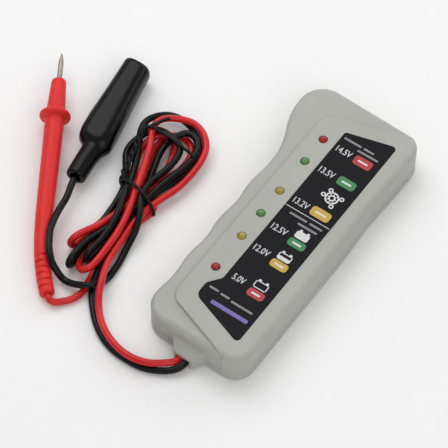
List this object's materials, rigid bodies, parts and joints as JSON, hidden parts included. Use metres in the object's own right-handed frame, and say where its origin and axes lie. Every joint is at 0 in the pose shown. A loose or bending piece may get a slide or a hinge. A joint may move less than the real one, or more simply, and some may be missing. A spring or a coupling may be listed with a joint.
{
  "type": "battery tester",
  "caption": "Hand-held battery tester with a column of indicator lamps, a needle probe and a booted spring clip on tied test leads.",
  "frame": {"origin": "middle of the case's box, cable hood included, on the face it rests on", "axes": "+Y along the case towards the end away from the leads, +Z out of the lamp face, +X to the right when the lamps are read upright"},
  "size_m": [0.1372, 0.134, 0.016],
  "materials": {
    "case_plastic": "fine moulded texture, warm grey",
    "label_film": "satin printed film",
    "lamp_red": "diffused coloured lens",
    "lamp_green": "diffused coloured lens",
    "lamp_yellow": "diffused coloured lens",
    "tinned_wire": "tinned",
    "screw_steel": "zinc plated",
    "board_green": "solder mask",
    "chip_black": "moulded epoxy",
    "can_aluminium": "satin",
    "lead_red": "soft shiny jacket",
    "lead_black": "soft shiny jacket",
    "tie_black": "plastic coated wire",
    "needle_steel": "ground and plated",
    "probe_red": "moulded, satin",
    "brass": "turned",
    "boot_black": "soft dipped vinyl",
    "jaw_steel": "nickel plated"
  },
  "bodies": {
    "tester": {"front_shell": "case_plastic", "back_shell": "case_plastic", "face_label": "label_film", "case_screws": "screw_steel", "led_1_red": "lamp_red", "led_2_green": "lamp_green", "led_3_yellow": "lamp_yellow", "led_4_green": "lamp_green", "led_5_yellow": "lamp_yellow", "led_6_red": "lamp_red", "led_legs": "tinned_wire", "circuit_board": "board_green", "comparator_chips": "chip_black", "chip_resistors": "chip_black", "voltage_reference": "chip_black", "polarity_diode": "chip_black", "filter_capacitor": "can_aluminium", "red_wire_inside": "lead_red", "black_wire_inside": "lead_black", "solder_joints": "tinned_wire", "red_lead_near": "lead_red", "black_lead_near": "lead_black", "lead_hank": "lead_black", "twist_tie": "tie_black", "red_lead_far": "lead_red", "black_lead_far": "lead_black", "probe_needle": "needle_steel", "probe_handle": "probe_red", "probe_ferrule": "brass", "probe_inner_lead": "lead_red", "probe_strain_relief": "probe_red", "clip_boot": "boot_black", "clip_fixed_jaw": "jaw_steel", "clip_pivot_pin": "jaw_steel", "clip_spring": "jaw_steel"},
    "clip_jaw": {"clip_moving_jaw": "jaw_steel", "clip_boot_lip": "boot_black"}
  },
  "joints": [
    {"name": "jaw_pivot", "type": "hinge", "parent": "tester", "child": "clip_jaw", "pos_m": [-0.08002, 0.00415, 0.00555], "axis": [0.9796, 0.2008, 0], "range_deg": [0, 20], "stiffness_Nm_per_rad": 0.1, "springref_deg": -34.38}
  ]
}
